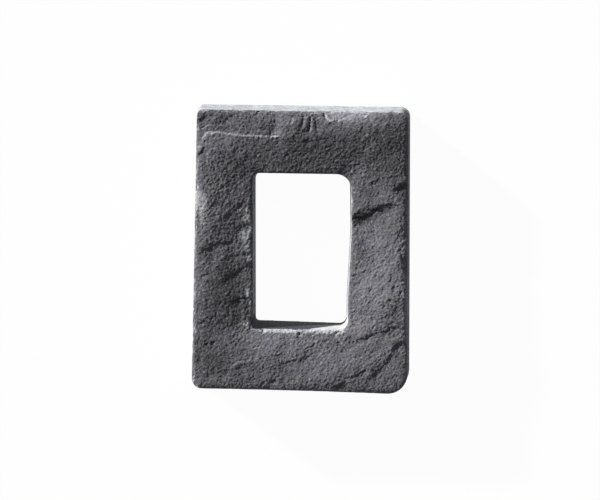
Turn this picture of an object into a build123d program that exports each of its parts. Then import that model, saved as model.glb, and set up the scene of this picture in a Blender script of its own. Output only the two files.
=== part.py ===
from build123d import *

# A receptacle stone for a wall of manufactured slate veneer: one casting of lightweight concrete
# with a cleft face and an opening for one electrical box. It lies on its flat back. X is its
# width, Y its height on the wall, and Z points out of the wall. Sizes are in millimetres.
import os
from math import cos, exp, hypot, log, pi, radians, sin, tan

# Overall size, taken over the back, which is the widest part of the casting
block_width = 152.4
block_height = 200.0
face_level = 41.0

# Draft of the rubber mould: the sides lean in to the face, and the opening widens to it
draft_angle = 2.2

# The outside as cast, with no side quite straight or square
left_side_lean = 4.4
left_side_waist = 0.1
left_waist_level = 36.0
top_side_fall = 1.7
bottom_side_rise = 3.9
bottom_side_waist = 0.5
bottom_waist_place = 22.0
side_bend_radius = 260.0
top_left_radius = 3.5
top_right_radius = 6.5
bottom_right_radius = 13.5
bottom_left_radius = 7.0

# The opening, taken over the back, where it is narrowest
opening_width = 65.9
opening_height = 105.0
opening_centre_x = 1.3
opening_centre_y = 0.9
opening_left_draft_angle = 0.6
opening_top_fall = 0.9
opening_bottom_fall = 2.0
opening_corner_radius = 5.0
opening_sharp_corner_radius = 2.6
opening_worn_corner_radius = 10.5
opening_right_bulge = 0.4
opening_bulge_level = 12.0
opening_right_narrowing = 2.2
opening_narrowing_length = 36.0
opening_bend_radius = 110.0

# Broken arrises between the face and the walls
outer_arris_width = 1.4
opening_arris_width = 1.0

# The face bows down to its outer edge and dishes down to the opening
outer_bow_drop = 1.6
outer_bow_run = 13.0
outer_bow_blend = 4.0
dish_drop = 3.2
dish_run = 30.0

# Slow waves of the cleft: height, length, direction in degrees, start in radians
waves = [
    (0.50, 74.0, 62.0, 0.4),
    (0.35, 47.0, 118.0, 2.1),
    (0.25, 31.0, 74.0, 4.4),
]

# Broad hills and hollows of the face, hollows with a height below nothing:
# centre x, centre y, long radius, short radius, direction of the long way in degrees, height
swells = [
    (30.0, 86.0, 46.0, 11.0, 0.0, 2.2),
    (34.0, 103.0, 18.0, 9.0, 0.0, -4.5),
    (-23.0, 91.0, 12.0, 7.0, 90.0, -0.8),
    (-6.0, 91.0, 12.0, 8.0, 90.0, 0.8),
    (-50.0, 94.0, 8.0, 8.0, 0.0, -0.8),
    (-66.0, 36.0, 34.0, 9.0, 88.0, 1.6),
    (-41.0, 6.0, 38.0, 9.0, 90.0, -1.0),
    (68.0, -12.0, 40.0, 11.0, 88.0, 2.0),
    (58.0, 14.0, 16.0, 9.0, 60.0, 0.8),
    (66.0, -66.0, 18.0, 10.0, 50.0, -1.0),
    (22.0, -84.0, 34.0, 12.0, 20.0, 0.8),
]

# Cleft ledges, each with its lower ply on the right of the line from its start to its end:
# start x, start y, end x, end y, step, and how far the lower ply takes to climb back
ledges = [
    (34.9, 19.8, 63.7, 33.7, 2.1, 15.0),
    (-51.2, -20.5, -33.3, -6.6, 1.5, 14.0),
    (-66.4, 1.6, -46.4, 8.5, 1.0, 10.0),
    (-51.8, 25.1, -38.0, 34.1, 0.9, 9.0),
    (24.0, -66.0, 66.7, -51.7, 0.8, 14.0),
    (48.8, -90.0, 76.0, -56.0, 1.3, 18.0),
    (-13.3, -78.0, 7.4, -70.3, 0.7, 12.0),
    (-13.2, 80.3, -68.9, 81.0, 1.0, 60.0),
    (66.4, 41.9, 78.0, 50.0, 1.4, 12.0),
]
ledge_step_width = 6.0
ledge_end_length = 9.0

# How closely the cleft surface is drawn, and how far it runs past the block
section_pitch = 5.0
point_pitch = 4.0
surface_margin = 8.0
cutter_height = 12.0


def smooth_step(share):
    """Rises smoothly from 0 to 1 as the share goes from 0 to 1."""
    share = min(max(share, 0.0), 1.0)
    return share * share * (3 - 2 * share)


def wave_height(x, y):
    """The slow waves of the cleft at a place on the face."""
    total = 0.0
    for height, length, direction, start in waves:
        along = x * cos(radians(direction)) + y * sin(radians(direction))
        total += height * sin(2 * pi * along / length + start)
    return total


def swell_height(x, y):
    """The broad hills and hollows at a place on the face."""
    total = 0.0
    for centre_x, centre_y, long_radius, short_radius, direction, height in swells:
        turned_x, turned_y = cos(radians(direction)), sin(radians(direction))
        along = ((x - centre_x) * turned_x + (y - centre_y) * turned_y) / long_radius
        across = ((y - centre_y) * turned_x - (x - centre_x) * turned_y) / short_radius
        total += height * exp(-along * along - across * across)
    return total


def ledge_height(x, y):
    """How far the lower plies lie below the face, as a negative height."""
    total = 0.0
    for start_x, start_y, end_x, end_y, step, climb in ledges:
        length = hypot(end_x - start_x, end_y - start_y)
        across_x = (end_y - start_y) / length
        across_y = (start_x - end_x) / length
        below = (x - start_x) * across_x + (y - start_y) * across_y
        along = (y - start_y) * across_x - (x - start_x) * across_y
        edge = smooth_step(below / ledge_step_width + 0.5)
        started = smooth_step(along / ledge_end_length + 0.5)
        not_ended = smooth_step((length - along) / ledge_end_length + 0.5)
        total -= step * edge * started * not_ended * exp(-max(below, 0.0) / climb)
    return total


def rolled_drop(distance, drop, run):
    """A bow that is drop deep at its edge and spent at the run from it."""
    share = max(1 - distance / run, 0.0)
    return drop * share * share


def face_height(x, y):
    """Height of the cleft face above the back, before its arrises are broken."""
    to_side = (block_width / 2 - abs(x)) / outer_bow_blend
    to_end = (block_height / 2 - abs(y)) / outer_bow_blend
    to_outside = -outer_bow_blend * log(exp(-to_side) + exp(-to_end))
    past_x = abs(x - opening_centre_x) - opening_width / 2
    past_y = abs(y - opening_centre_y) - opening_height / 2
    to_opening = hypot(max(past_x, 0.0), max(past_y, 0.0))
    bow = rolled_drop(max(to_outside, -surface_margin), outer_bow_drop, outer_bow_run)
    dish = rolled_drop(to_opening, dish_drop, dish_run)
    ground = face_level - bow - dish
    return ground + wave_height(x, y) + swell_height(x, y) + ledge_height(x, y)


def outside_outline(level):
    """The outside of the casting at a level above its back."""
    inset = level * tan(radians(draft_angle))
    right = block_width / 2 - inset
    left = -block_width / 2 + inset
    top = block_height / 2 - inset
    bottom = -block_height / 2 + inset
    bottom_rise = bottom_side_rise * (0.5 - bottom_waist_place / block_width)
    left_lean = left_side_lean * (0.5 + left_waist_level / block_height)
    corners = {
        (left + left_side_lean, top): top_left_radius,
        (right, top - top_side_fall): top_right_radius,
        (right, bottom): bottom_right_radius,
        (bottom_waist_place, bottom + bottom_rise + bottom_side_waist): side_bend_radius,
        (left, bottom + bottom_side_rise): bottom_left_radius,
        (left + left_lean + left_side_waist, left_waist_level): side_bend_radius,
    }
    line = FilletPolyline(*corners, radius=list(corners.values()), close=True)
    return Plane.XY.offset(level) * make_face(line)


def opening_outline(level):
    """The opening at a level above the back. Its bottom wall twists: it falls only at the back."""
    grown = level * tan(radians(draft_angle))
    left = -opening_width / 2 - level * tan(radians(opening_left_draft_angle))
    right = opening_width / 2 + grown
    top = opening_height / 2 + grown
    narrowed = right - opening_right_narrowing
    fallen = opening_bottom_fall * (1 - level / face_level)
    corners = {
        (left, top): opening_corner_radius,
        (right, top - opening_top_fall): opening_worn_corner_radius,
        (right + opening_right_bulge, opening_bulge_level): opening_bend_radius,
        (narrowed, -opening_narrowing_length): opening_bend_radius,
        (narrowed, -top - fallen): opening_corner_radius,
        (left, -top): opening_sharp_corner_radius,
    }
    line = FilletPolyline(*corners, radius=list(corners.values()), close=True)
    centre = Pos(opening_centre_x, opening_centre_y, level)
    return centre * make_face(line)


def cleft_section(x, rows):
    """What lies above the face in one section across X, closed at a flat top."""
    line = [Vector(x, y, face_height(x, y)) for y in rows]
    ceiling = face_level + cutter_height
    first, last = line[0], line[-1]
    far = Vector(x, last.Y, ceiling)
    near = Vector(x, first.Y, ceiling)
    spline = Edge.make_spline(line)
    return Wire([spline, Edge.make_line(last, far), Edge.make_line(far, near), Edge.make_line(near, first)])


def steps(length, pitch):
    """Evenly spaced places from one end of a length to the other, about one pitch apart."""
    count = round(length / pitch)
    return [length * (i / count - 0.5) for i in range(count + 1)]


def above_the_face():
    """Everything over the cleft face, as one smooth loft through its sections."""
    rows = steps(block_height + 2 * surface_margin, point_pitch)
    columns = steps(block_width + 2 * surface_margin, section_pitch)
    return Solid.make_loft([cleft_section(x, rows) for x in columns])


def receptacle_block():
    """The whole casting, with its back centred on the origin."""
    ceiling = face_level + cutter_height / 2
    block = loft([outside_outline(0), outside_outline(ceiling)], ruled=True)
    block -= loft([opening_outline(0), opening_outline(ceiling)], ruled=True)
    block -= above_the_face()
    face = block.faces().sort_by(Axis.Z)[-1]
    block = chamfer(face.outer_wire().edges(), outer_arris_width)
    face = block.faces().filter_by(GeomType.BSPLINE).sort_by(SortBy.AREA)[-1]
    block = chamfer(face.inner_wires()[0].edges(), opening_arris_width)
    middle = block.bounding_box().center()
    return Pos(-middle.X, -middle.Y) * block


os.makedirs("parts", exist_ok=True)
export_step(receptacle_block(), "parts/receptacle_block.step")
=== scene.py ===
# %% [markdown]
# A receptacle stone: one casting of lightweight concrete, made in a rubber mould taken from split
# slate. Its face is brushed with charcoal pigment before the pour, and the sides stay bare cement.
# We start from the CAD model of the casting, which already has the right size, draft, opening,
# waves and ledges, and give it the finer relief and the finish of the real one.

from math import cos, radians, sin, tan

import bpy
import numpy as np
from mathutils import Matrix, Vector


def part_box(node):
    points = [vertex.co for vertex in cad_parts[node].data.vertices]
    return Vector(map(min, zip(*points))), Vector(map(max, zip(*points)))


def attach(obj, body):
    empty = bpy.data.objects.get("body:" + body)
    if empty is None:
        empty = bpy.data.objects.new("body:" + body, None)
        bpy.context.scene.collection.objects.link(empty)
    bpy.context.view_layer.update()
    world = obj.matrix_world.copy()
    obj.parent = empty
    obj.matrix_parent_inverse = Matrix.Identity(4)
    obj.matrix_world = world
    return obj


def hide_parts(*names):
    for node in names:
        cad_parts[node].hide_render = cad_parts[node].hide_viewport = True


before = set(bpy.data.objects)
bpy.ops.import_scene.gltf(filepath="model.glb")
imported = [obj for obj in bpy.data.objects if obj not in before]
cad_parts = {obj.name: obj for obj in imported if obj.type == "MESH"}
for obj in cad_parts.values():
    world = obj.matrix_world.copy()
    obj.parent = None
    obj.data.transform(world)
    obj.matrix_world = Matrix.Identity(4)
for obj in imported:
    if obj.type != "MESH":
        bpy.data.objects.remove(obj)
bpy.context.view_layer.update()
NODE = "receptacle_block"
MM = 0.001
block_low, block_high = (Vector(corner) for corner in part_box(NODE))
print("casting, mm:", [round(side / MM, 1) for side in block_high - block_low])

# %% [markdown]
# The casting is one closed mesh. Voxel remeshing turns the CAD triangles into an even grid, which
# relief needs: every vertex then has neighbours at the same distance in all directions. The grid is
# a little finer than one pixel of the photograph.

# %% An even grid over the casting
GRID_PITCH = 0.58 * MM
WELD_DISTANCE = 0.01 * MM


def mesh_after(obj, name):
    """The mesh of an object with its modifiers applied, as a new mesh."""
    evaluated = obj.evaluated_get(bpy.context.evaluated_depsgraph_get())
    mesh = bpy.data.meshes.new_from_object(evaluated)
    mesh.name = name
    return mesh


def take_modifiers(obj):
    """Makes what the modifiers show the object's own mesh, and removes them."""
    mesh = mesh_after(obj, obj.name)
    obj.modifiers.clear()
    obj.data = mesh


stone = bpy.data.objects.new("cast_stone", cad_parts[NODE].data.copy())
bpy.context.scene.collection.objects.link(stone)
stone.data.materials.clear()
weld = stone.modifiers.new("weld", "WELD")
weld.merge_threshold = WELD_DISTANCE
grid = stone.modifiers.new("grid", "REMESH")
grid.mode = "VOXEL"
grid.voxel_size = GRID_PITCH
take_modifiers(stone)
print("grid:", len(stone.data.vertices), "vertices")

# %% [markdown]
# Masks say what part of the casting a vertex belongs to. The face looks up, the back looks down,
# and the sides and the walls of the opening lie between. Each mask fades, so relief stops softly.

# %% Masks for the face and the walls
# The face is where a normal points this much up, and the back is this near to the floor
FACE_STARTS, FACE_FULL = 0.30, 0.80
BACK_ENDS, BACK_FULL = 3.0 * MM, 0.5 * MM


def points_of(mesh):
    """The places of a mesh's vertices, one row each."""
    flat = np.empty(len(mesh.vertices) * 3)
    mesh.vertices.foreach_get("co", flat)
    return flat.reshape(-1, 3)


def normals_of(mesh):
    """The directions in which a mesh's vertices look, one row each."""
    flat = np.empty(len(mesh.vertices) * 3, dtype=np.float32)
    mesh.vertex_normals.foreach_get("vector", flat)
    return flat.reshape(-1, 3)


def smooth(value, low, high):
    """Rises smoothly from 0 at low to 1 at high."""
    share = np.clip((value - low) / (high - low), 0.0, 1.0)
    return share * share * (3 - 2 * share)


def write_attribute(mesh, name, values):
    """Stores one number for each vertex, for a modifier or a material to read."""
    attribute = mesh.attributes.get(name) or mesh.attributes.new(name, "FLOAT", "POINT")
    attribute.data.foreach_set("value", np.asarray(values, dtype=np.float32))


points = points_of(stone.data)
normals = normals_of(stone.data)
on_face = smooth(normals[:, 2], FACE_STARTS, FACE_FULL)
on_back = smooth(points[:, 2], BACK_ENDS, BACK_FULL)
on_wall = (1 - on_face) * (1 - on_back)
print("face vertices:", int((on_face > 0.5).sum()))

# %% [markdown]
# The CAD surface comes as flat triangles a few millimetres wide, and a low light shows each of
# them. Smoothing the face, and only the face, melts them together.

# %% Smooth the facets away
FACET_SMOOTHINGS = 40
FACET_SMOOTHING_SHARE = 0.5
group = stone.vertex_groups.new(name="face")
for share in (0.25, 0.5, 0.75, 1.0):
    chosen = np.flatnonzero((on_face > share - 0.25) & (on_face <= share))
    group.add(chosen.tolist(), share, "REPLACE")
smoothing = stone.modifiers.new("melt facets", "SMOOTH")
smoothing.vertex_group = group.name
smoothing.factor = FACET_SMOOTHING_SHARE
smoothing.iterations = FACET_SMOOTHINGS
take_modifiers(stone)
stone.vertex_groups.clear()
points = points_of(stone.data)

# %% [markdown]
# Slate splits along plies. Where a ply ends, it leaves a ledge: a step down to the ply below, which
# then climbs back. We draw each ledge as a short chain of points, in millimetres on the face, with
# the lower ply on its right-hand side. Chisel strokes and scratches are chains as well, with a
# hollow along them, and pits are round. The broad hills and the slow part of the great ledges are
# in the CAD model already.

# %% Ledges, strokes and pits
# Random numbers are drawn on a square grid of cells, with the face near its middle
CLOUD_CELLS = 512
CLOUD_MIDDLE_X, CLOUD_MIDDLE_Y = 250.3, 250.7
# Over how many millimetres a ledge or a stroke dies out at each end
LEDGE_FADE, STROKE_FADE = 5.0, 2.0
face_points = np.flatnonzero(on_face > 0.0)
face_x = points[face_points, 0] / MM
face_y = points[face_points, 1] / MM


def cloud(x, y, size, seed):
    """Smooth random numbers from -1 to 1 over the face, in lumps of one size."""
    draw = np.random.default_rng(seed).uniform(-1.0, 1.0, (CLOUD_CELLS, CLOUD_CELLS))
    across, up = x / size + CLOUD_MIDDLE_X, y / size + CLOUD_MIDDLE_Y
    column, row = np.floor(across).astype(int), np.floor(up).astype(int)
    u, v = across - column, up - row
    u, v = u * u * (3 - 2 * u), v * v * (3 - 2 * v)
    lower = draw[row, column] * (1 - u) + draw[row, column + 1] * u
    upper = draw[row + 1, column] * (1 - u) + draw[row + 1, column + 1] * u
    return lower * (1 - v) + upper * v


# Slate breaks raggedly, so nothing on the face follows its chain to better than a millimetre
ragged = 1.1 * cloud(face_x, face_y, 5.0, 11) + 0.7 * cloud(face_x, face_y, 2.2, 12)
ragged += 0.45 * cloud(face_x, face_y, 1.2, 13)
broken = 1.0 + 0.6 * cloud(face_x, face_y, 6.0, 14)


def along_chain(chain, x, y):
    """Distance to the right of a chain of points, distance along it, and its length."""
    nearest = np.full(len(x), 1e9)
    side = np.zeros(len(x))
    along = np.zeros(len(x))
    length = 0.0
    for (x0, y0), (x1, y1) in zip(chain, chain[1:]):
        run = np.hypot(x1 - x0, y1 - y0)
        ux, uy = (x1 - x0) / run, (y1 - y0) / run
        forward = (x - x0) * ux + (y - y0) * uy
        right = (x - x0) * uy - (y - y0) * ux
        kept = np.clip(forward, 0.0, run)
        away = np.hypot(forward - kept, right)
        closer = away < nearest
        nearest = np.where(closer, away, nearest)
        side = np.where(closer, np.where(right < 0, -away, away), side)
        along = np.where(closer, length + forward, along)
        length += run
    return side, along, length


def ends_fade(along, length, fade):
    """1 between the ends of a chain, falling to 0 past them."""
    return smooth(along, -fade / 2, fade / 2) * smooth(length - along, -fade / 2, fade / 2)


def ledge(chain, step, width, climb):
    """A step down to the right of the chain, with the lower ply climbing back."""
    side, along, length = along_chain(chain, face_x, face_y)
    side += ragged
    drop = smooth(side, -width / 2, width / 2) * np.exp(-np.maximum(side, 0.0) / climb)
    return -step * broken * drop * ends_fade(along, length, LEDGE_FADE)


def stroke(chain, depth, width):
    """A hollow along the chain, or a ridge where depth is negative."""
    side, along, length = along_chain(chain, face_x, face_y)
    side += ragged * 0.4
    hollow = np.exp(-((side / (width / 2)) ** 2))
    return -depth * hollow * ends_fade(along, length, STROKE_FADE)


# Each ledge: its chain, its step, how wide the step is, and how far the lower ply takes to climb
LEDGES = {
    "great ledge, right": (
        [(36.5, 23.5), (42.5, 25.5), (48, 28), (52.5, 31), (57, 33.5)],
        1.9, 1.2, 8,
    ),
    "great ledge, root": ([(37, 25.5), (42.5, 28), (48, 31)], 0.9, 1.6, 6),
    "great ledge, end": ([(57, 33.5), (62.5, 34), (68, 33.5)], 0.9, 1.2, 6),
    "edge of right side, high": ([(65, 43.5), (68.5, 47.5), (74.5, 49)], 1.2, 1.2, 9),
    "edge of right side, low": (
        [(75, -20), (73, -16.5), (71.5, -12), (71, -6.5), (70, 2), (72, 7), (75.5, 9)],
        0.5, 0.8, 12,
    ),
    "right, above the great ledge": (
        [(48.5, 47.5), (51.5, 50), (57, 51), (62.5, 53)],
        0.35, 1.2, 5,
    ),
    "right, by the worn corner": ([(41.5, 46), (46.5, 47.5)], 0.4, 1.0, 4),
    "right, on the great ledge": ([(46, 29.5), (48, 32), (48, 37)], 0.5, 1.2, 3),
    "right, short one": ([(46, 0.5), (48.5, 2), (51.5, 4)], 0.5, 1.0, 4),
    "right, below the middle": ([(35.5, -17), (40.5, -15.5), (46, -12.5)], 0.7, 1.2, 6),
    "right, by the opening": ([(37, -41.5), (42, -41)], 0.4, 0.8, 4),
    "right, low": ([(64, -42.5), (66.5, -41), (66.5, -37.5)], 0.5, 1.0, 4),
    "long one under the opening": (
        [(36.5, -62), (44.5, -59.5), (49.5, -57), (53.5, -55.5), (60, -54), (66, -51.5)],
        0.6, 0.8, 6,
    ),
    "bottom right, great": (
        [
            (48, -89), (51.5, -84), (57, -79), (60.5, -75.5), (62.5, -70), (65.5, -63), (71, -59),
            (75.5, -56),
        ],
        0.2, 2.0, 7,
    ),
    "bottom, middle right": (
        [(24, -93), (30, -89.5), (32.5, -87), (35, -86), (40, -84.5), (46, -82)],
        0.9, 1.4, 6,
    ),
    "bottom, middle": (
        [(-13.5, -76.5), (-6.5, -76), (1, -74.5), (4.5, -72.5), (7.5, -71.5)],
        0.35, 0.9, 5,
    ),
    "bottom, short one": ([(8, -65.5), (11.5, -64)], 0.4, 0.8, 4),
    "left, highest": ([(-50.5, 24.5), (-45.5, 27), (-42, 31.5), (-38, 34)], 0.35, 1.4, 5),
    "left, second": ([(-43.5, 15), (-39.5, 18), (-34.5, 21)], 0.6, 1.2, 5),
    "left, third": ([(-66.5, 1.5), (-61.5, 3), (-56, 6), (-52, 6.5), (-46.5, 8)], 0.6, 1.4, 6),
    "left, fourth": ([(-53.5, -5.5), (-47, -4), (-42, -2.5), (-34, -0.5)], 0.6, 1.0, 4),
    "left, great": (
        [(-53.5, -21), (-48.5, -18.5), (-43.5, -14.5), (-39, -11), (-33.5, -8)],
        0.3, 2.4, 6,
    ),
    "left, hook": ([(-68, -19), (-66.5, -15.5), (-61, -13.5)], 0.8, 1.0, 4),
    "left, lowest": ([(-47, -35), (-42.5, -31.5), (-34.5, -31)], 1.0, 1.4, 5),
    "top left corner": ([(-70.5, 67), (-67.5, 70), (-64, 72.5)], 0.8, 1.4, 5),
    "top left, split": (
        [(-14, 80.5), (-18, 80), (-34, 80.5), (-49, 81.5), (-54.5, 83), (-62, 83), (-67, 78)],
        0.8, 0.6, 14,
    ),
    "top left, upper split": ([(-49.5, 87), (-62.5, 87.5), (-67.5, 84.5)], 0.4, 0.9, 8),
    "top, edge of the slope": ([(-19.5, 81.5), (-19.5, 96.5)], 1.0, 5.0, 30),
    "top, under the scoop": ([(18.5, 88), (26, 90.5), (31.5, 92.5)], 0.5, 0.8, 5),
}
# Each stroke: its chain, its depth and its width; a ridge has a depth below nothing
STROKES = {
    "chisel, first": ([(3, 94.5), (1.5, 86.5)], 1.0, 1.7),
    "chisel, second": ([(7.5, 94), (6.5, 83)], 1.0, 1.6),
    "chisel, third": ([(11, 91), (12, 84.5)], 0.8, 1.5),
    "chisel, fourth": ([(16.5, 97), (17.5, 94), (19, 91.5)], 1.1, 1.6),
    "top edge nick": ([(-29.5, 94.5), (-27.5, 97.5)], 0.8, 1.6),
    "top edge notch": ([(-21.5, 94), (-18, 98)], 0.5, 1.8),
    "top left valley": ([(-69, 87.5), (-65.5, 92), (-62, 94)], 0.5, 4.0),
    "split's ridge": ([(-14, 79.6), (-34, 79.6), (-49, 80.6)], -0.15, 1.2),
    "top right ridge": ([(58, 87), (62, 90.5)], -0.5, 2.4),
    "right arc": ([(49.5, 15), (51.5, 13), (53, 9.5), (51.5, 6.5)], 0.25, 1.2),
    "right thin line": ([(45, 16.5), (44.5, 11.5), (44, 9)], 0.2, 1.0),
    "right stroke": ([(64, -14), (64, -18), (62, -21.5)], 0.4, 1.6),
    "saw scratch": ([(25.5, -57.5), (29, -62.5), (31, -64.5)], -0.3, 1.0),
    "saw scratch, start": ([(24, -57), (25, -60)], 0.4, 1.2),
    "bottom upright": ([(15.5, -63.5), (16.5, -67.5)], 0.4, 1.4),
    "bottom left ridge": ([(-32.5, -67.5), (-30, -67), (-27, -66)], -0.4, 1.4),
    "bottom left streak": (
        [(-48.5, -81), (-45, -79), (-42.5, -76.5), (-38, -76), (-32.5, -76)],
        -0.35, 2.0,
    ),
    "bottom left stroke": ([(-50.5, -82.5), (-50.5, -86.5)], 0.4, 1.8),
    "left edge hollow": ([(-69.5, -69), (-69.5, -79.5)], 0.5, 4.0),
    "left short stroke": ([(-57, -40.5), (-57.5, -45)], 0.5, 1.6),
    "left stroke": ([(-61.5, -47), (-59, -45.5)], 0.5, 1.6),
    "left low stroke": ([(-68.5, -50.5), (-65, -47.5)], 0.5, 1.8),
    "left upright": ([(-64.5, -21.5), (-63.5, -24)], 0.4, 1.2),
    "right margin's ridge": ([(72.5, -20), (72.5, -62)], -0.8, 6.0),
}
# Each pit: its place, its radius and its depth
PITS = [
    (65.5, -24.3, 1.6, 0.9), (49, -26.4, 1.2, 0.7), (63, -33.6, 1.6, 0.8), (58.3, -37.1, 1.2, 0.7),
    (70, -27.4, 1.2, 0.7), (47.3, -59.3, 1.4, 0.9), (65.8, -53.1, 1.5, 0.9),
    (-62.7, -86.3, 1.6, 0.9), (-59.3, -63.5, 1.3, 0.8), (-64.1, -64.2, 1.3, 0.8),
    (-71, -63.5, 1.4, 0.9), (-17.7, -89.8, 1.6, 0.8), (-45.9, 93.5, 1.9, 1.0),
    (-49.3, 90.8, 1.9, 0.9), (-3.6, 93.9, 1.4, 0.8), (5.1, 76.2, 1.8, 0.8), (-0.2, -56.6, 1.1, 1.6),
    (25.2, -56.2, 0.9, 1.0), (-24.9, -54.6, 0.9, 1.2), (52.8, -84.3, 2.6, 0.6),
    (61.7, -73.9, 2.6, 0.6), (67.9, -66.2, 2.6, 0.6), (43.5, 21.5, 4.0, 0.9),
]
relief = np.zeros(len(face_x))
for chain, step, width, climb in LEDGES.values():
    relief += ledge(chain, step, width, climb)
for chain, depth, width in STROKES.values():
    relief += stroke(chain, depth, width)
for pit_x, pit_y, radius, depth in PITS:
    away = np.hypot(face_x - pit_x, face_y - pit_y) + 0.3 * ragged
    relief -= depth * np.exp(-((away / radius) ** 2))
print("relief, mm:", round(relief.min(), 2), "to", round(relief.max(), 2))

points[face_points, 2] += relief * MM * on_face[face_points]
stone.data.vertices.foreach_set("co", points.ravel())
cut = np.zeros(len(points))
cut[face_points] = relief
write_attribute(stone.data, "relief", cut)
write_attribute(stone.data, "on_face", on_face)
write_attribute(stone.data, "on_wall", on_wall)
stone.data.update()

# %% [markdown]
# The grain of split slate follows a rule: grains under two millimetres wide, over slower hills,
# with long streaks along the lie of the slate that come and go, pits where flakes came away, and
# chips along the arrises. Geometry Nodes can write that rule once, with a named input for each
# size, and move every vertex along its normal by it.

# %% Grain by Geometry Nodes


def add_node(tree, kind, settings=None, values=None, links=None):
    """Adds a node, with its settings, its socket values and the sockets that feed it."""
    node = tree.nodes.new(kind)
    for name, value in (settings or {}).items():
        setattr(node, name, value)
    for socket, value in (values or {}).items():
        node.inputs[socket].default_value = value
    for socket, source in (links or {}).items():
        tree.links.new(source, node.inputs[socket])
    return node


def feed(tree, node, socket, value):
    """Sets a socket to a number, or links the socket that the value is."""
    if isinstance(value, (int, float)):
        node.inputs[socket].default_value = value
    else:
        tree.links.new(value, node.inputs[socket])


def add_maths(tree, operation, first, second):
    """The result of one sum on two numbers or sockets."""
    node = add_node(tree, "ShaderNodeMath", {"operation": operation})
    feed(tree, node, 0, first)
    feed(tree, node, 1, second)
    return node.outputs[0]


def add_ramp(tree, value, low, high, first=0.0, last=1.0):
    """Goes smoothly from first to last as the value goes from low to high."""
    limits = {"From Min": low, "From Max": high, "To Min": first, "To Max": last}
    node = add_node(tree, "ShaderNodeMapRange", {"interpolation_type": "SMOOTHSTEP"}, limits,
                    {"Value": value})
    return node.outputs[0]


GRAIN_INPUTS = {
    "Grain size": 1.6 * MM,
    "Grain height": 1.9 * MM,
    "Grain stretch": 1.0,
    "Lie of the slate": radians(48.0),
    "Streak size": 3.0 * MM,
    "Streak height": 1.3 * MM,
    "Streak stretch": 5.0,
    "Streak spacing": 22.0 * MM,
    "Lie of the streaks": radians(32.0),
    "Hill size": 11.0 * MM,
    "Hill height": 2.0 * MM,
    "Pit spacing": 5.0 * MM,
    "Pit depth": 0.2 * MM,
    "Wall ripple": 0.2 * MM,
    "Chip size": 5.0 * MM,
    "Chip depth": 4.5 * MM,
}
ARRIS_BLURS = 5


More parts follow.
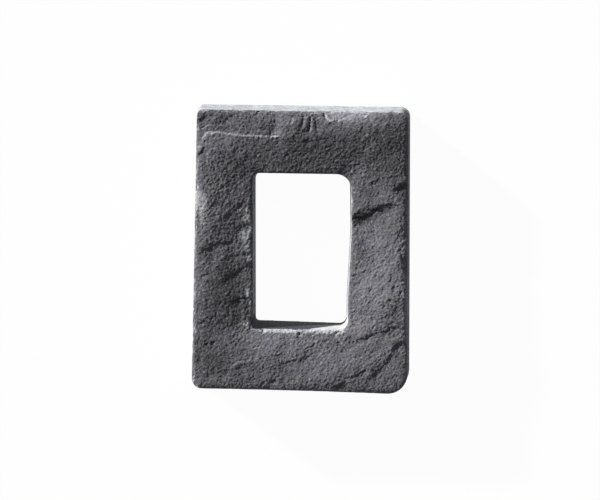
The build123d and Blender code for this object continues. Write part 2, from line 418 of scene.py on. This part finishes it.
def grain_tree():
    """The rule of the grain, as a Geometry Nodes tree."""
    tree = bpy.data.node_groups.new("split_slate_grain", "GeometryNodeTree")
    tree.interface.new_socket("Geometry", in_out="INPUT", socket_type="NodeSocketGeometry")
    for name in GRAIN_INPUTS:
        tree.interface.new_socket(name, in_out="INPUT", socket_type="NodeSocketFloat")
    tree.interface.new_socket("Material", in_out="INPUT", socket_type="NodeSocketMaterial")
    tree.interface.new_socket("Geometry", in_out="OUTPUT", socket_type="NodeSocketGeometry")
    given = add_node(tree, "NodeGroupInput").outputs

    def maths(operation, first, second):
        return add_maths(tree, operation, first, second)

    def named(attribute):
        node = add_node(tree, "GeometryNodeInputNamedAttribute", {"data_type": "FLOAT"},
                        {"Name": attribute})
        return node.outputs["Attribute"]

    where = add_node(tree, "GeometryNodeInputPosition").outputs[0]

    def laid_along(angle, stretch):
        """Places turned to an angle and squeezed along it, which draws a noise out that way."""
        turned = add_node(tree, "ShaderNodeVectorRotate",
                          {"rotation_type": "Z_AXIS", "invert": True},
                          links={"Vector": where, "Angle": angle})
        squeeze = add_node(tree, "ShaderNodeCombineXYZ", values={"Y": 1.0, "Z": 1.0},
                           links={"X": maths("DIVIDE", 1.0, stretch)})
        return add_node(tree, "ShaderNodeVectorMath", {"operation": "MULTIPLY"},
                        links={0: turned.outputs[0], 1: squeeze.outputs[0]}).outputs[0]

    laid = laid_along(given["Lie of the slate"], given["Grain stretch"])
    drawn = laid_along(given["Lie of the streaks"], given["Streak stretch"])

    def noise(vector, size, detail, roughness):
        node = add_node(tree, "ShaderNodeTexNoise",
                        values={"Detail": detail, "Roughness": roughness},
                        links={"Vector": vector, "Scale": maths("DIVIDE", 1.0, size)})
        return maths("SUBTRACT", node.outputs[0], 0.5)

    crest = noise(laid, given["Grain size"], 2.5, 0.65)
    grain = maths("MULTIPLY", crest, given["Grain height"])
    hills = maths("MULTIPLY", noise(laid, given["Hill size"], 2.0, 0.5), given["Hill height"])
    pits = add_node(tree, "ShaderNodeTexVoronoi", {"feature": "F1"}, {"Randomness": 1.0},
                    {"Vector": laid, "Scale": maths("DIVIDE", 1.0, given["Pit spacing"])})
    depth = add_ramp(tree, pits.outputs["Distance"], 0.10, 0.28, 1.0, 0.0)
    pitted = maths("MULTIPLY", depth, given["Pit depth"])
    come_and_go = add_ramp(tree, noise(where, given["Streak spacing"], 2.0, 0.5), 0.0, 0.22)
    streaks = noise(drawn, given["Streak size"], 3.0, 0.6)
    streaks = maths("MULTIPLY", maths("MULTIPLY", streaks, given["Streak height"]), come_and_go)
    face_relief = maths("SUBTRACT", maths("ADD", maths("ADD", grain, hills), streaks), pitted)
    ripple = maths("MULTIPLY", noise(where, given["Hill size"], 3.0, 0.6), given["Wall ripple"])
    moved = maths("ADD", maths("MULTIPLY", face_relief, named("on_face")),
                  maths("MULTIPLY", ripple, named("on_wall")))
    # Chips are where a noise rises over nothing, and only near an arris, half face and half wall
    arris = maths("MULTIPLY", maths("MULTIPLY", named("on_face"), named("on_wall")), 4.0)
    near = add_node(tree, "GeometryNodeBlurAttribute", {"data_type": "FLOAT"},
                    {"Iterations": ARRIS_BLURS}, {"Value": arris})
    chips = maths("MAXIMUM", noise(where, given["Chip size"], 3.0, 0.6), 0.0)
    chips = maths("MULTIPLY", chips, given["Chip depth"])
    moved = maths("SUBTRACT", moved, maths("MULTIPLY", chips, near.outputs["Value"]))
    normal = add_node(tree, "GeometryNodeInputNormal").outputs[0]
    offset = add_node(tree, "ShaderNodeVectorMath", {"operation": "SCALE"},
                      links={0: normal, "Scale": moved})
    shifted = add_node(tree, "GeometryNodeSetPosition",
                       links={"Geometry": given["Geometry"], "Offset": offset.outputs[0]})
    marked = add_node(tree, "GeometryNodeStoreNamedAttribute",
                      {"data_type": "FLOAT", "domain": "POINT"}, {"Name": "crest"},
                      {"Geometry": shifted.outputs[0], "Value": crest})
    real = add_node(tree, "GeometryNodeRealizeInstances", links={"Geometry": marked.outputs[0]})
    finished = add_node(tree, "GeometryNodeSetMaterial",
                        links={"Geometry": real.outputs[0], "Material": given["Material"]})
    add_node(tree, "NodeGroupOutput", links={0: finished.outputs[0]})
    return tree


def set_inputs(modifier, values):
    """Sets a Geometry Nodes modifier's inputs through the identifiers of its sockets."""
    for item in modifier.node_group.interface.items_tree:
        if item.in_out == "INPUT" and item.name in values:
            modifier[item.identifier] = values[item.name]


# %% [markdown]
# The finish is charcoal iron-oxide pigment on matt concrete, over bare grey cement at the sides.
# Cast concrete has no sheen: a rough surface with a plain dielectric IOR. Colours are sRGB hex
# values. A pair of them is the dark and the light end of a mix. Masks from the mesh choose between
# sound pigment, worn pigment with painted highlights, small stains, plain cement, a painted shadow
# in the opening and painted light on its walls.

# %% The stone's material
COLOURS = {
    "bluish pigment": ("#272629", "#828087"),
    "neutral pigment": ("#2A282A", "#868487"),
    "worn pigment and painted highlight": ("#5C5C5E", "#B0AFB0"),
    "painted shadow in the opening": ("#3D3D3E", "#262836"),
    "rust": "#74655A",
    "blue stain": "#3E4259",
    "cement": ("#76787C", "#C4C6CA"),
    "painted_light": ("#C2C2C0", "#E2E1DE"),
    "pinhole": "#5E5F62",
}
# How large each pattern is
MOTTLE_SIZE, HUE_SIZE, SAND_SIZE = 14 * MM, 7 * MM, 9 * MM
SPECK_SIZE, FLECK_SIZE = 1.2 * MM, 2.4 * MM
PINHOLE_SPACING = 6 * MM
# How much each one lightens or darkens the pigment
SPECK_CONTRAST = 4.2
MOTTLE_CONTRAST = 0.6
CREST_CONTRAST = 1.6
FLECK_CONTRAST = 0.9
# Painted shade in the hollows beside ledges and strokes, and a little painted light on ridges; in
# part it also stands for pigment lying thicker in the hollows
RELIEF_CONTRAST = 0.3
SPECK_SHARE, SAND_SHARE = 0.55, 0.45
SPECK_BUMP, SPECK_HEIGHT = 0.9, 0.4 * MM
ROUGHNESS, CONCRETE_IOR = 0.92, 1.5


def from_hex(code):
    """An sRGB hex colour as the linear RGBA that Blender's sockets take."""
    channels = [int(code[i:i + 2], 16) / 255 for i in (1, 3, 5)]
    return [c / 12.92 if c <= 0.04045 else ((c + 0.055) / 1.055) ** 2.4 for c in channels] + [1.0]


def cast_stone_material():
    """Pigmented concrete, with its cement where the pigment ends."""
    material = bpy.data.materials.new("charcoal_pigmented_concrete")
    material.use_nodes = True
    tree = material.node_tree
    tree.nodes.clear()
    place = add_node(tree, "ShaderNodeTexCoord").outputs["Object"]

    def attribute(name):
        return add_node(tree, "ShaderNodeAttribute", {"attribute_name": name}).outputs["Fac"]

    def noise(size, detail, roughness):
        return add_node(tree, "ShaderNodeTexNoise",
                        values={"Scale": 1 / size, "Detail": detail, "Roughness": roughness},
                        links={"Vector": place}).outputs[0]

    def maths(operation, first, second):
        return add_maths(tree, operation, first, second)

    def blend(factor, first, second):
        node = add_node(tree, "ShaderNodeMix", {"data_type": "RGBA"}, links={"Factor": factor})
        for socket, colour in ((6, first), (7, second)):
            if isinstance(colour, str):
                node.inputs[socket].default_value = from_hex(colour)
            else:
                tree.links.new(colour, node.inputs[socket])
        return node.outputs[2]

    def centred(value):
        return maths("SUBTRACT", value, 0.5)

    mottle = noise(MOTTLE_SIZE, 4.0, 0.6)
    speck = noise(SPECK_SIZE, 4.0, 0.8)
    hue = add_ramp(tree, noise(HUE_SIZE, 3.0, 0.6), 0.45, 0.62)
    flecks = add_ramp(tree, noise(FLECK_SIZE, 3.0, 0.6), 0.58, 0.72)
    shade = maths("ADD", maths("MULTIPLY", centred(speck), SPECK_CONTRAST),
                  maths("MULTIPLY", centred(mottle), MOTTLE_CONTRAST))
    shade = maths("ADD", shade, maths("MULTIPLY", attribute("crest"), CREST_CONTRAST))
    shade = maths("ADD", shade, maths("MULTIPLY", flecks, FLECK_CONTRAST))
    # Painted shade and painted light from the patches, for slopes and ledges under the low light,
    # and in part uneven pigment
    shade = maths("ADD", shade, attribute("shade"))
    # Painted shade in the relief's hollows and painted light on its ridges, and in part thicker
    # pigment in the hollows
    shade = maths("ADD", shade, maths("MULTIPLY", attribute("relief"), RELIEF_CONTRAST))
    level = add_node(tree, "ShaderNodeMapRange", values={"From Min": -1.0, "From Max": 1.0},
                     links={"Value": shade}).outputs[0]

    bluish = blend(level, *COLOURS["bluish pigment"])
    neutral = blend(level, *COLOURS["neutral pigment"])
    charcoal = blend(hue, bluish, neutral)
    # Worn pigment, and painted highlights on edges and on the left arris that face the light
    charcoal = blend(attribute("worn_and_highlit"), charcoal, blend(level, *COLOURS["worn pigment and painted highlight"]))
    charcoal = blend(attribute("rust"), charcoal, COLOURS["rust"])
    charcoal = blend(attribute("blue"), charcoal, COLOURS["blue stain"])
    # Painted shadow on the opening's bottom wall, neutral deep in the opening and bluer near the
    # face
    painted_shadow_colour = blend(attribute("painted_shadow_blue"), *COLOURS["painted shadow in the opening"])
    charcoal = blend(attribute("run"), charcoal, painted_shadow_colour)

    sandy = maths("ADD", maths("MULTIPLY", speck, SPECK_SHARE),
                  maths("MULTIPLY", noise(SAND_SIZE, 6.0, 0.7), SAND_SHARE))
    patchy = add_ramp(tree, sandy, 0.36, 0.64)
    cement = blend(patchy, *COLOURS["cement"])
    # Painted light: paler cement on the lit part of the opening's bottom wall, on its right wall
    # and on the rim under it
    cement = blend(attribute("painted_light"), cement, blend(patchy, *COLOURS["painted_light"]))
    holes = add_node(tree, "ShaderNodeTexVoronoi", {"feature": "F1"},
                     {"Scale": 1 / PINHOLE_SPACING}, {"Vector": place})
    pinhole = add_ramp(tree, holes.outputs["Distance"], 0.05, 0.12, 1.0, 0.0)
    cement = blend(pinhole, cement, COLOURS["pinhole"])

    colour = blend(attribute("pigment"), cement, charcoal)
    fine = add_node(tree, "ShaderNodeBump",
                    values={"Strength": SPECK_BUMP, "Distance": SPECK_HEIGHT},
                    links={"Height": speck})
    shader = add_node(tree, "ShaderNodeBsdfPrincipled",
                      values={"Roughness": ROUGHNESS, "IOR": CONCRETE_IOR},
                      links={"Base Color": colour, "Normal": fine.outputs[0]})
    add_node(tree, "ShaderNodeOutputMaterial", links={0: shader.outputs[0]})
    return material


concrete = cast_stone_material()
modifier = stone.modifiers.new("grain", "NODES")
modifier.node_group = grain_tree()
set_inputs(modifier, {**GRAIN_INPUTS, "Material": concrete})
take_modifiers(stone)
print("after grain:", len(stone.data.vertices), "vertices")

# %% [markdown]
# Half a million triangles is more than a reusable part should carry. Collapsing short edges keeps
# the triangles where the relief is, and spends few on the flat back and the plain walls.

# %% Thin out the mesh
TRIANGLE_LIMIT = 196000
LOOKS_DOWN = -0.9
triangles = sum(len(face.vertices) - 2 for face in stone.data.polygons)
thin = stone.modifiers.new("thin", "DECIMATE")
thin.ratio = min(1.0, TRIANGLE_LIMIT / triangles)
thin.use_collapse_triangulate = True
take_modifiers(stone)
# The back is screeded flat, and its few large triangles are shaded as what they are
for face in stone.data.polygons:
    face.use_smooth = face.normal.z > LOOKS_DOWN
points = points_of(stone.data)
normals = normals_of(stone.data)
print("triangles:", triangles, "to", len(stone.data.polygons))

# %% [markdown]
# Brushed pigment is never even. It is thick in the hollows of the mould and thin on its edges, and
# it wears off where stones rub in the crate. We paint that as soft patches, each a long or round
# spot. The same patches also hold painted shade and painted light: slopes and ledges of the face
# that the low light shades or lights, and a lit strip along the left edge.

# %% Where the pigment is thick, thin or worn
x, y, level = points[:, 0] / MM, points[:, 1] / MM, points[:, 2] / MM
up = normals[:, 2]
torn = 0.6 * cloud(x, y, 3.1, 21) + 0.4 * cloud(x, y, 1.3, 22)


def patches(spots):
    """The sum of soft spots: place, long and short radius, angle of the long way, strength."""
    total = np.zeros(len(x))
    for spot_x, spot_y, long, short, angle, strength in spots:
        ux, uy = cos(radians(angle)), sin(radians(angle))
        forward = ((x - spot_x) * ux + (y - spot_y) * uy) / long
        across = ((y - spot_y) * ux - (x - spot_x) * uy) / short
        total += strength * np.exp(-(forward ** 2) - across ** 2)
    return total


# Each patch is painted shade where its strength is below nothing and painted light where it is
# above, for how the low light falls on a slope, a ledge or an edge, and in part thicker and thinner
# pigment
SHADES = [
    (18, 70, 40, 13, 5, -0.5), (-38, 40, 10, 26, 0, -0.3), (-46, -16, 12, 10, 40, -0.35),
    (-55, -30, 14, 24, 0, -0.4), (60, 70, 14, 24, 0, -0.45), (45, 38, 12, 12, 0, -0.4),
    (62, 0, 9, 20, 0, 0.25), (50, -33, 12, 18, 0, 0.4), (42, -52, 10, 8, 0, 0.35),
    (44, 3, 8, 14, 0, -0.2), (-66, -70, 10, 20, 0, -0.5), (-52, -78, 16, 12, 0, -0.25),
    (-40, -56, 12, 8, 0, 0.2), (10, -70, 36, 9, 0, 0.12), (-13, 90, 6, 8, 0, 0.5),
    (30.7, 94.6, 20, 3.5, 0, 0.9), (31, 94, 7, 4, 0, 0.7), (-50, 93, 8, 7, 0, -0.3),
    (-62, 62, 10, 12, 60, 0.15), (-62, 25, 8, 14, 0, 0.3), (-35.6, -8.7, 2.5, 2, 0, -0.5),
    (41.4, -2.5, 5, 11, 0, -0.15), (-1, -60, 33, 4, 0, 0.3), (11.9, -91.6, 2.5, 3, 0, -0.5),
    (1.9, -92.3, 1, 1.2, 0, -0.6), (63.1, 94.2, 1, 1.8, 0, -0.7), (-69.6, 26, 0.8, 4, 0, -0.9),
    (-72.5, 5, 1.6, 12, 0, 0.6), (-73, -28, 1.6, 5, 0, 0.5), (-74, -49.6, 1.6, 4, 0, 0.4),
    (-65.8, -7.6, 4.5, 4.5, 0, 0.3), (-61.3, 66.5, 2, 6, 0, 0.5), (71, -5, 4, 22, 0, 0.5),
    (44, 22, 6.5, 2.4, 25, -0.9), (62, -72, 12, 5, 50, 0.3), (-43, -13, 9, 5, 35, 0.25),
    (52, -20, 12, 26, 0, 0.15), (-72, 40, 2.5, 20, 0, 0.35), (72.5, -42, 3, 16, 0, 0.5),
    (-5, 59, 24, 6, 0, -0.35), (-52, -30, 14, 22, 0, -0.15), (-56, -80, 18, 14, 0, -0.2),
    (-71, 24.2, 1, 2.4, 0, -1.4), (-70, 28.4, 1.2, 1.2, 0, -1.2), (-70.3, 18, 0.9, 2, 0, -1.2),
    (5, 70, 60, 20, 0, -0.1), (8, -72, 50, 16, 0, 0.1), (52, -10, 14, 40, 0, 0.15),
    (-50, -40, 16, 26, 0, -0.12), (75.5, -42, 2.2, 40, 0, 1.0), (-37.6, 11.9, 3.8, 3.4, 30, 0.7),
    (-36.7, 23.6, 2.6, 3.2, 0, 0.7), (-34.3, 18, 1.8, 4.4, 0, 0.6),
    (-35.2, -28.8, 1.8, 3.0, 0, 0.7), (-35.5, 2, 3, 4, 0, 0.4), (-36.8, -49.4, 3.4, 3.6, 40, 0.3),
]
# Where the pigment has worn through to the cement, and, along the outer left edge, painted
# highlight where the arris faces the light
WORN_AND_HIGHLIT = [
    (-38, 29.8, 3.6, 2.0, 10, 1.2), (-36.7, 23.6, 2.6, 3.2, 0, 1.6),
    (-34.3, 18.0, 1.8, 4.4, 0, 1.6), (-37.6, 11.9, 3.8, 3.4, 30, 1.6),
    (-36.4, 3.4, 4.0, 4.4, 0, 1.2), (-34.9, -4.6, 2.4, 1.4, 20, 1.6),
    (-35.2, -28.8, 1.8, 3.0, 0, 1.8), (-33.8, -38.0, 1.4, 6.0, 0, 1.1),
    (-36.8, -49.4, 3.4, 3.6, 40, 1.1), (-66.5, 28, 5.0, 10.0, -15, 0.8),
    (-68.5, 37, 3.6, 6.5, 0, 0.9), (-67, 72, 3, 4, 60, 0.4), (-72.6, 47, 1.8, 15, 0, 0.9),
    (-73.2, 12, 1.6, 7, 0, 0.9), (-73.6, -28, 1.3, 5, 0, 0.7),
]
# Edges that face the light, each with a painted highlight along it as well as pigment lost from the
# broken edge: a chain, its width and its strength
HIGHLIT_AND_WORN_EDGES = [
    (LEDGES["top left, split"][0], 0.7, 1.0),
    ([(-49.5, 87.3), (-62.5, 87.8), (-67.5, 84.8)], 0.7, 0.5),
    ([(17.3, 97), (18.4, 94), (20, 91.3), (26, 90.8), (31.5, 93)], 0.8, 0.8),
    ([(4.4, 92.5), (3, 86.5)], 0.6, 0.6), ([(8.4, 91.5), (8, 83)], 0.6, 0.6),
    (STROKES["saw scratch"][0], 0.7, 1.1),
    ([(-32.5, -67.5), (-30, -67), (-24, -65.5)], 1.0, 0.9),
    ([(-48.5, -81), (-45, -79), (-42.5, -76.5), (-38, -76)], 1.2, 0.6),
]
# Two small stains beside the opening
RUST = [(-34.6, -21.9, 2.2, 1.5, 0, 1.0)]
BLUE = [(-33.6, -24.8, 2.2, 1.1, 0, 1.0)]

# %% [markdown]
# Pigment ends where the casting turned away from the brushed face of the mould. In places it ran
# on, over two arrises of the opening. The outer right side is darker too, charcoal down to a ragged
# line above the back. A painted shadow darkens a wedge far down the opening's bottom wall, bluer
# nearer the face. The rim under the opening is nearly bare, and painted light makes the cement
# paler there, on the lit part of the opening's bottom wall and on its right wall. All of it is
# stored as attributes, which the material reads.

# %% Where the pigment ends
# The opening's middle, how far its walls and arrises reach from it, and where its bottom wall is
OPENING_X, OPENING_Y = 1.3, 0.9
OPENING_REACH_X, OPENING_REACH_Y = 37.5, 57.0
BOTTOM_WALL_Y = -45.0

# The rim under the opening, where the pigment ends a little sooner
bottom_rim = smooth(y, -60.0, -58.0) * smooth(-y, 52.0, 53.0)
bottom_rim = bottom_rim * smooth(x, -35.0, -32.0) * smooth(-x, -32.5, -29.5)
bare_low, bare_high = 0.25 + 0.35 * bottom_rim, 0.65 + 0.30 * bottom_rim
pigment = smooth(up + 0.55 * torn * (1 - 0.7 * bottom_rim), bare_low, bare_high)
# Over the upper and right arris of the opening, and a painted shadow far down its bottom wall
inside = (np.abs(x - OPENING_X) < OPENING_REACH_X) & (np.abs(y - OPENING_Y) < OPENING_REACH_Y)
inside = inside & (up < 0.7)
bottom_wall = y < BOTTOM_WALL_Y
over_arris = smooth(level + 2.0 * torn, 35.0, 37.0) * ((x > 30.0) | (y > 50.0))
# Painted shadow: a dark wedge on the opening's bottom wall, below a line that rises to the left
painted_shadow_line = np.minimum(42.0, 45.1 - 1.1 * x)
painted_shadow_wedge = smooth(painted_shadow_line - level + 0.8 * torn, -0.6, 0.6) * bottom_wall * (x < 31.0)
pigment = np.where(inside, np.maximum(pigment, np.maximum(over_arris, painted_shadow_wedge)), pigment)
# The rim itself is bare, apart from its left end
rim_bare = bottom_rim * smooth(y + 0.7 * torn, -56.6, -55.6) * smooth(x, -27.0, -24.0)
rim_bare = rim_bare * smooth(up, 0.45, 0.7)
pigment = np.where(y < -53.0, pigment * (1 - rim_bare), pigment)
# Over the outer right side, down to a ragged line above the back
side_line = level + 7.0 * cloud(y, level, 11.0, 23) + 2.0 * torn
pigment = np.maximum(pigment, smooth(x, 70.0, 72.0) * smooth(side_line, 6.0, 9.0))
# Painted light on the opening's bottom wall, its right wall and the rim under it
painted_light = inside * np.maximum(0.5 * bottom_wall, 0.2 * (x > 28.0)) + 0.15 * bottom_rim
above_back = smooth(level, 0.6, 1.6)

edges = np.zeros(len(x))
for chain, width, strength in HIGHLIT_AND_WORN_EDGES:
    side, along, length = along_chain(chain, x, y)
    on_edge = np.exp(-((side / width) ** 2)) * ends_fade(along, length, 3.0)
    edges += strength * on_edge * (up > 0.5)
worn_and_highlit = smooth(patches(WORN_AND_HIGHLIT) + 0.45 * torn, 0.35, 0.85) + smooth(edges + 0.3 * torn, 0.2, 0.9)
paint = {
    "pigment": pigment * above_back,
    "painted_light": np.clip(painted_light * above_back, 0.0, 1.0),
    # run holds the painted shadow on the opening's bottom wall
    "run": np.where(inside, painted_shadow_wedge, 0.0),
    "painted_shadow_blue": smooth(level + 2.0 * torn, 8.0, 30.0),
    "shade": patches(SHADES),
    "worn_and_highlit": np.clip(worn_and_highlit, 0.0, 1.0),
    "rust": smooth(patches(RUST) + 0.2 * torn, 0.3, 0.7),
    "blue": smooth(patches(BLUE) + 0.2 * torn, 0.3, 0.7),
}
for name, values in paint.items():
    write_attribute(stone.data, name, values)
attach(stone, "root")
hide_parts(NODE)

# %% [markdown]
# The photograph looks almost straight down on the face, from a little above its middle and a little
# to the right. A long lens far away keeps the sides nearly parallel, as they are there.

# %% Camera
PICTURE_WIDTH, PICTURE_HEIGHT = 600, 500
BLOCK_ORIGIN_PIXEL = (301.1, 246.5)
PIXEL = 0.701 * MM
CAMERA_DISTANCE = 2.2
TILT_UP, TILT_RIGHT = radians(6.0), radians(1.8)
SENSOR = 36.0

towards = Vector((tan(TILT_RIGHT), tan(TILT_UP), 1.0)).normalized()
across = Vector((0, 1, 0)).cross(towards).normalized()
upwards = towards.cross(across)
aim = across * (PICTURE_WIDTH / 2 - BLOCK_ORIGIN_PIXEL[0]) * PIXEL
aim += upwards * (BLOCK_ORIGIN_PIXEL[1] - PICTURE_HEIGHT / 2) * PIXEL
camera = bpy.data.objects.new("camera", bpy.data.cameras.new("camera"))
camera.data.sensor_width = SENSOR
camera.data.lens = SENSOR * CAMERA_DISTANCE / (PICTURE_WIDTH * PIXEL)
camera.data.clip_end = 50.0
turn = Matrix((across, upwards, towards)).transposed().to_4x4()
camera.matrix_world = Matrix.Translation(aim + towards * CAMERA_DISTANCE) @ turn
bpy.context.scene.collection.objects.link(camera)
bpy.context.scene.camera = camera
print("lens, mm:", round(camera.data.lens, 1))

# %% [markdown]
# The light rakes across the face from the upper left, low over the stone, and brings out every
# grain. A pale sky fills the shadows. Where the camera looks past the floor, it sees white.

# %% Light
KEY_FROM_ANGLE = 142.0
KEY_HEIGHT_ANGLE = 19.0
KEY_SPREAD_ANGLE = 3.0
KEY_STRENGTH = 6.6
SKY_FILL = 0.13


def seen_directly(tree):
    """1 for rays from the camera, from a mirror and through glass, and 0 for the others."""
    rays = add_node(tree, "ShaderNodeLightPath").outputs
    direct = add_maths(tree, "MAXIMUM", rays["Is Camera Ray"], rays["Is Glossy Ray"])
    return add_maths(tree, "MAXIMUM", direct, rays["Is Transmission Ray"])


def mix_shaders(tree, share, first, second):
    """A node that shows the first node's shader at a share of 0 and the second's at 1."""
    return add_node(tree, "ShaderNodeMixShader",
                    links={0: share, 1: first.outputs[0], 2: second.outputs[0]})


key = bpy.data.objects.new("key", bpy.data.lights.new("key", "SUN"))
key.data.energy = KEY_STRENGTH
key.data.angle = radians(KEY_SPREAD_ANGLE)
key_from = Vector((
    cos(radians(KEY_HEIGHT_ANGLE)) * cos(radians(KEY_FROM_ANGLE)),
    cos(radians(KEY_HEIGHT_ANGLE)) * sin(radians(KEY_FROM_ANGLE)),
    sin(radians(KEY_HEIGHT_ANGLE)),
))
key.rotation_euler = key_from.to_track_quat("Z", "Y").to_euler()
bpy.context.scene.collection.objects.link(key)

world = bpy.data.worlds.new("pale_sky")
bpy.context.scene.world = world
world.use_nodes = True
sky = world.node_tree
sky.nodes.clear()
white = add_node(sky, "ShaderNodeBackground",
                 values={"Color": from_hex("#FFFFFF"), "Strength": 1.0})
fill = add_node(sky, "ShaderNodeBackground",
                values={"Color": from_hex("#E6ECFA"), "Strength": SKY_FILL})
either = mix_shaders(sky, seen_directly(sky), fill, white)
add_node(sky, "ShaderNodeOutputWorld", links={0: either.outputs[0]})

# %% [markdown]
# The floor is white to the eye, and keeps a faint shadow of the stone. It is clear from below, so
# that the stone's flat back can be looked at.

# %% Floor
FLOOR_SIZE = 8.0
FLOOR_GLOW = 0.97
FLOOR_GAP = 0.1 * MM


def floor_material():
    """White paper from above, with the stone's shadow on it, and nothing from below."""
    material = bpy.data.materials.new("white_paper_floor")
    material.use_nodes = True
    tree = material.node_tree
    tree.nodes.clear()
    share = add_maths(tree, "MULTIPLY", seen_directly(tree), FLOOR_GLOW)
    paper = add_node(tree, "ShaderNodeBsdfDiffuse", values={"Color": from_hex("#F0F0F0")})
    glow = add_node(tree, "ShaderNodeEmission",
                    values={"Color": from_hex("#FFFFFF"), "Strength": 1.0})
    above = mix_shaders(tree, share, paper, glow)
    # Light that leaves the stone's back crosses only the gap before it meets the floor
    backfacing = add_node(tree, "ShaderNodeNewGeometry").outputs["Backfacing"]
    ray_length = add_node(tree, "ShaderNodeLightPath").outputs["Ray Length"]
    near = add_maths(tree, "LESS_THAN", ray_length, 5 * FLOOR_GAP)
    below = add_maths(tree, "MAXIMUM", backfacing, near)
    clear = add_node(tree, "ShaderNodeBsdfTransparent")
    finish = mix_shaders(tree, below, above, clear)
    add_node(tree, "ShaderNodeOutputMaterial", links={0: finish.outputs[0]})
    return material


half = FLOOR_SIZE / 2
corners = [(-half, -half, 0), (half, -half, 0), (half, half, 0), (-half, half, 0)]
floor_mesh = bpy.data.meshes.new("floor")
floor_mesh.from_pydata(corners, [], [(0, 1, 2, 3)])
floor_mesh.materials.append(floor_material())
floor = bpy.data.objects.new("floor", floor_mesh)
floor.location.z = -FLOOR_GAP
bpy.context.scene.collection.objects.link(floor)
bpy.context.scene.view_settings.view_transform = "Standard"
